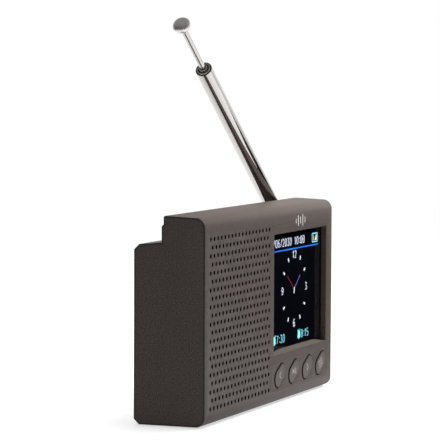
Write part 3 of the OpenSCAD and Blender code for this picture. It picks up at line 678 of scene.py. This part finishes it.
def flat_shapes(name, shapes, matrix):
    """Thin raised shapes from (x, z) outlines in millimetres, lying on the plane y = 0 and standing forward."""
    bm = bmesh.new()
    for outline in shapes:
        back = [bm.verts.new((x * MM, 0, z * MM)) for x, z in outline]
        front = [bm.verts.new((x * MM, -INK_THICK * MM, z * MM)) for x, z in outline]
        bm.faces.new(back)
        bm.faces.new(front)
        for k in range(len(outline)):
            n = (k + 1) % len(outline)
            bm.faces.new((back[k], back[n], front[n], front[k]))
    return finished(bm, name, matrix)


def stroke(ax, az, bx, bz, width):
    """The outline of a straight bar between two points."""
    d = Vector((bx - ax, bz - az)).normalized() * width / 2
    return [(ax - d.y, az + d.x), (bx - d.y, bz + d.x), (bx + d.y, bz - d.x), (ax + d.y, az - d.x)]


LINE = 0.45
LEGENDS = {
    "back": [stroke(0.9, 1.2, -0.8, 0, LINE), stroke(-0.8, 0, 0.9, -1.2, LINE)],
    "select": [[(-1.6, 1.1), (0.1, 0), (-1.6, -1.1)], *(stroke(x, 1.1, x, -1.1, LINE) for x in (0.8, 1.7))],
    "forward": [stroke(-0.9, 1.2, 0.8, 0, LINE), stroke(0.8, 0, -0.9, -1.2, LINE)],
    "menu": [stroke(-2.0, z, 2.0, z, 0.4) for z in (1.15, 0, -1.15)],
}
for i, key in enumerate(KEYS):
    x = WINDOW_X + (i - 1.5) * BUTTON_PITCH
    cap_name, legend_name = f"{key}_cap", f"{key}_legend"
    cap = piece(cap_name, button_mesh(cap_name, x), f"{key}_key", MATERIALS["key_plastic"],
                smooth_deg=40)
    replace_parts(cap, f"{key}_button")
    lean = LEAN if key == "menu" else Matrix.Identity(4)
    legend = flat_shapes(legend_name, LEGENDS[key], Matrix.Translation(at(x, LEGEND_Y, BUTTON_Z)) @ lean)
    piece(legend_name, legend, f"{key}_key", LEGEND_INK)


# ---------- picture on the display ----------

PICTURE_Y = 2.88
PICTURE_W = 50
PICTURE_X = WINDOW_X - PICTURE_W / 2
TOP_LINE_Z = 52.3
TOP_ROW_Z = 55.0
BATTERY_AT = (47.6, 53.4)
ALARM_Z = 19.6
LIT = {
    "white": lit("lit_white_look", (0.80, 0.84, 1.0), 2.0),
    "blue": lit("lit_blue_look", (0.0, 0.22, 1.0), 1.5),
    "red": lit("lit_red_look", (0.60, 0.05, 0.10), 1.2),
    "violet": lit("lit_violet_look", (0.32, 0.30, 0.95), 1.4),
    "cyan": lit("lit_cyan_look", (0.25, 0.95, 0.78), 2.2),
    "pale_cyan": lit("lit_pale_cyan_look", (0.25, 0.75, 0.90), 1.9),
    "yellow": lit("lit_yellow_look", (0.85, 0.65, 0.10), 1.2),
}


def show(name, color, shapes, x=0.0, z=0.0):
    """Lit shapes on the picture, given in millimetres from (x, z) in case coordinates."""
    mesh = flat_shapes(name, shapes, Matrix.Translation(at(x, PICTURE_Y, z)))
    piece(name, mesh, "housing", LIT[color])


# Each figure is drawn with lines through points in a box one unit wide and one unit high
ROUND = [(0.3, 0), (0, 0.22), (0, 0.78), (0.3, 1), (0.7, 1), (1, 0.78), (1, 0.22), (0.7, 0), (0.3, 0)]
FIGURES = {
    "0": [ROUND],
    "1": [[(0.1, 0.74), (0.5, 1), (0.5, 0)]],
    "2": [[(0, 0.78), (0.3, 1), (0.7, 1), (1, 0.78), (1, 0.6), (0, 0), (1, 0)]],
    "3": [[(0, 1), (1, 1), (0.45, 0.6), (1, 0.42), (1, 0.2), (0.7, 0), (0.3, 0), (0, 0.16)]],
    "4": [[(0.75, 0), (0.75, 1), (0, 0.3), (1, 0.3)]],
    "5": [[(1, 1), (0.1, 1), (0, 0.55), (0.7, 0.6), (1, 0.4), (1, 0.2), (0.7, 0), (0, 0.06)]],
    "6": [[(0.9, 1), (0.4, 0.96), (0, 0.6), (0, 0.22), (0.3, 0), (0.7, 0), (1, 0.22), (1, 0.4), (0.7, 0.58),
           (0, 0.5)]],
    "7": [[(0, 1), (1, 1), (0.35, 0)]],
    "8": [ROUND, [(0, 0.53), (1, 0.53)]],
    "9": [[(0.1, 0), (0.6, 0.04), (1, 0.4), (1, 0.78), (0.7, 1), (0.3, 1), (0, 0.78), (0, 0.6), (0.3, 0.42),
           (1, 0.5)]],
    "/": [[(0, 0), (1, 1)]],
    ":": [[(0.5, 0.62), (0.5, 0.78)], [(0.5, 0.1), (0.5, 0.26)]],
}
FIGURE_W = 1.5
FIGURE_STEP = 2.5
THIN_STROKE = 0.2
SLIM = {"1": 0.8, "/": 0.8, ":": 0.6}


def figures(name, text, color, x, z, high, middle=False):
    """Thin lit figures with their left end, or their middle, at x and their middle height at z."""
    steps = [FIGURE_STEP * SLIM.get(sign, 1) for sign in text]
    if middle:
        x -= (sum(steps) - FIGURE_STEP + FIGURE_W) / 2
    shapes = []
    for k, sign in enumerate(text):
        left = x + sum(steps[:k])
        wide = FIGURE_W * SLIM.get(sign, 1)
        for line in FIGURES[sign]:
            points = [(left + px * wide, z + (pz - 0.5) * high) for px, pz in line]
            for (ax, az), (bx, bz), start, end in zip(line, line[1:], points, points[1:]):
                upright = abs(bz - az) / math.hypot(bx - ax, bz - az)
                shapes.append(stroke(*start, *end, THIN_STROKE * (1 + upright)))
    show(name, color, shapes)


show("picture_line", "blue", [stroke(0, 0, PICTURE_W, 0, 0.42)], PICTURE_X, TOP_LINE_Z)
figures("picture_date", "01/06/2030", "white", PICTURE_X - 0.9, TOP_ROW_Z, 2.6)
figures("picture_time", "10:08", "white", 29.2, TOP_ROW_Z, 2.6)
battery_frame = [stroke(0, 0, 5.6, 0, 0.4), stroke(0, 3, 5.6, 3, 0.4), stroke(0, 0, 0, 3, 0.45),
                 stroke(5.6, 0, 5.6, 3, 0.45)]
show("picture_battery_frame", "pale_cyan", battery_frame, *BATTERY_AT)
show("picture_battery_fill", "yellow", [[(0.9, 0.5), (2.6, 0.5), (1.7, 2.5), (0.9, 2.5)]], *BATTERY_AT)
show("picture_battery_white", "white", [[(3.1, 0.5), (4.8, 0.5), (4.8, 2.5), (4.0, 2.5)]], *BATTERY_AT)

CLOCK_X, CLOCK_Z, CLOCK_R = 29.0, 38.0, 12.2
DOT = 0.75
for hour in range(1, 13):
    turn = math.radians(90 - hour * 30)
    cx, cz = CLOCK_X + CLOCK_R * math.cos(turn), CLOCK_Z + CLOCK_R * math.sin(turn)
    if hour % 3 == 0:
        figures(f"clock_{hour}", str(hour), "white", cx, cz, 2.5, middle=True)
    else:
        dx, dz = DOT * math.cos(turn), DOT * math.sin(turn)
        show(f"clock_mark_{hour}", "white", [stroke(-dx, -dz, dx, dz, DOT)], cx, cz)
show("clock_second_hand", "red", [stroke(0, 0, -7.2, 4.9, 0.15)], CLOCK_X, CLOCK_Z)
show("clock_minute_hand", "violet", [stroke(0, 0, 5.9, 4.4, 0.2)], CLOCK_X, CLOCK_Z)
show("clock_hour_hand", "white", [stroke(0, 0.5, -0.2, -1.6, 0.7)], CLOCK_X, CLOCK_Z)
bell = [arc(1.4, 1.9, 1.15, 0, 180, 12) + [(0.05, 0.4), (2.75, 0.4)], stroke(1.0, 0.1, 1.8, 0.1, 0.35),
        stroke(0, 2.9, 0.6, 3.4, 0.4), stroke(2.8, 2.9, 2.2, 3.4, 0.4)]
for name, left, alarm in (("first", 7.4, "7:30"), ("second", 32.7, "8:15")):
    show(f"{name}_alarm_bell", "cyan", bell, left, ALARM_Z)
    figures(f"{name}_alarm_time", alarm, "pale_cyan", left + 3.7, ALARM_Z + 1.7, 2.7)


# ---------- mark above the window ----------

MARK_AT = (28.5, 0, 62.4)
BAR_PITCH = 2.3
BAR_HALVES = (0.8, 1.9, 1.2, 2.1, 1.0)
bars = [stroke(k * BAR_PITCH, -half, k * BAR_PITCH, half, LINE) for k, half in enumerate(BAR_HALVES, -2)]
mark = flat_shapes("front_mark", bars, Matrix.Translation(at(*MARK_AT)))
piece("front_mark", mark, "housing", INK)


# ---------- studio ----------

SKY_LEFT = 0.04
SKY_RIGHT = 1.4
SKY_TOP = 0.3
# Grey walls that only mirrors see: name, radius, first and last bearing, top and brightness
SCREENS = (("left", 0.36, -180, -25, 0.125, 0.1), ("near", 0.15, 45, 110, 0.062, 0.06))
SCREEN_STEPS = 24


def aimed(made, place, aim, axis):
    """Puts an object at a place and turns the given axis of it towards aim."""
    made.location = place
    made.rotation_euler = (Vector(aim) - Vector(place)).to_track_quat(axis, "Y").to_euler()


def plane(name, size, place=None, aim=None):
    """A flat stage piece that lies at the origin, facing up, or stands at a place, facing aim."""
    bm = bmesh.new()
    bmesh.ops.create_grid(bm, x_segments=1, y_segments=1, size=0.5)
    bm.transform(Matrix.Diagonal((*size, 1, 1)))
    mesh = bpy.data.meshes.new(name)
    bm.to_mesh(mesh)
    bm.free()
    made = placed(name, mesh)
    if place is not None:
        aimed(made, place, aim, "Z")
    return made


def soft_light(name, place, aim, size, watts):
    """A square area light that doesn't show in mirrors."""
    data = bpy.data.lights.new(name, "AREA")
    data.shape = "SQUARE"
    data.size = size
    data.energy = watts
    made = placed(name, data)
    made.visible_glossy = False
    aimed(made, place, aim, "-Z")


def screen(name, radius, start, end, high):
    """A curved wall on the floor round the radio, between two bearings measured from -Y towards +X."""
    bm = bmesh.new()
    rows = []
    for k in range(SCREEN_STEPS + 1):
        a = math.radians(start + (end - start) * k / SCREEN_STEPS)
        rows.append([bm.verts.new((radius * math.sin(a), -radius * math.cos(a), z)) for z in (0, high)])
    for a, b in zip(rows, rows[1:]):
        bm.faces.new((a[0], b[0], b[1], a[1]))
    made = placed(name, finished(bm, name))
    return made


def mirrored_only(card, tone):
    """Gives a card a steady tone that only shows in what mirrors it."""
    look = Look(f"{card.name}_look", Base_Color=(0, 0, 0), Specular_IOR_Level=0.0)
    glow = look.blend(look.noise(200), (0.95, 0.95, 0.95), (1, 1, 1))
    card.data.materials.append(look.use(Emission_Color=glow, Emission_Strength=tone))
    card.visible_camera = card.visible_diffuse = card.visible_shadow = False


def studio_floor():
    """A wide glowing floor whose middle is also a matt grey that takes light and shadows."""
    floor = plane("studio_floor", (40, 40))
    look = Look("studio_floor_look", Roughness=0.8)
    far = look.add("ShaderNodeVectorMath", {"operation": "LENGTH"}, in0=look.place).outputs["Value"]
    tone = look.blend(look.noise(400, 2), (0.22, 0.22, 0.22), (0.25, 0.25, 0.25))
    floor.data.materials.append(look.use(
        Base_Color=look.blend(look.scale(far, 0.0, 1.0, 0.25, 1.2), tone, (0, 0, 0)),
        Specular_IOR_Level=0.0, Emission_Color=(1, 1, 1), Emission_Strength=look.scale(far, 0.6, 1.0, 0.1, 1.2)))


def studio_sky():
    """A sky that is dark on the left, bright on the right and dim overhead; the camera sees it plain white."""
    world = bpy.data.worlds.new("studio_world")
    bpy.context.scene.world = world
    world.use_nodes = True
    tree = world.node_tree
    seen = tree.nodes.new("ShaderNodeLightPath").outputs["Is Camera Ray"]
    place = tree.nodes.new("ShaderNodeSeparateXYZ")
    tree.links.new(tree.nodes.new("ShaderNodeTexCoord").outputs["Generated"], place.inputs[0])
    sky = tree.nodes.new("ShaderNodeMix")
    for share, axis, ends in ((tree.nodes.new("ShaderNodeMapRange"), "X", (-0.2, 0.8, SKY_LEFT, SKY_RIGHT)),
                              (tree.nodes.new("ShaderNodeMapRange"), "Z", (0.05, 0.75, 0, 1))):
        for name, value in zip(("From Min", "From Max", "To Min", "To Max"), ends):
            share.inputs[name].default_value = value
        tree.links.new(place.outputs[axis], share.inputs["Value"])
        tree.links.new(share.outputs[0], sky.inputs["A" if axis == "X" else "Factor"])
    sky.inputs["B"].default_value = SKY_TOP
    mix = tree.nodes.new("ShaderNodeMix")
    mix.data_type = "RGBA"
    mix.inputs[MIX_B].default_value = (1, 1, 1, 1)
    tree.links.new(seen, mix.inputs["Factor"])
    tree.links.new(sky.outputs[0], mix.inputs[MIX_A])
    tree.links.new(mix.outputs[MIX_RESULT], tree.nodes["Background"].inputs["Color"])


studio_floor()
dark_card = plane("studio_dark_card", (0.064, 0.05), place=(0.12, -0.05, 0.032), aim=(0, -0.05, 0.032))
mirrored_only(dark_card, 0.004)
for name, radius, start, end, high, tone in SCREENS:
    mirrored_only(screen(f"studio_{name}_screen", radius, start, end, high), tone)
studio_sky()
soft_light("key_light", (0.3, -0.2, 0.3), aim=(0.01, 0, 0.04), size=0.2, watts=4.2)
soft_light("top_light", (0.15, -0.1, 1.5), aim=(0, 0, 0), size=0.9, watts=50)
bpy.context.scene.view_settings.view_transform = "Standard"

# ---------- camera ----------

AZIMUTH, ELEVATION, ROLL = map(math.radians, (-68.51, 3.53, 0.26))
TARGET = Vector((-0.04935, -0.01235, 0.0672))
DISTANCE = 0.8662
FOCAL_MM = 217.06
SENSOR_MM = 36
back = Vector((math.sin(AZIMUTH) * math.cos(ELEVATION), -math.cos(AZIMUTH) * math.cos(ELEVATION),
               math.sin(ELEVATION)))
lens = bpy.data.cameras.new("camera")
lens.lens = FOCAL_MM
lens.sensor_width = SENSOR_MM
camera = placed("camera", lens)
camera.rotation_mode = "QUATERNION"
camera.location = TARGET + back * DISTANCE
camera.rotation_quaternion = ((-back).to_track_quat("-Z", "Y").to_matrix()
                              @ Matrix.Rotation(ROLL, 3, "Z")).to_quaternion()
bpy.context.scene.camera = camera
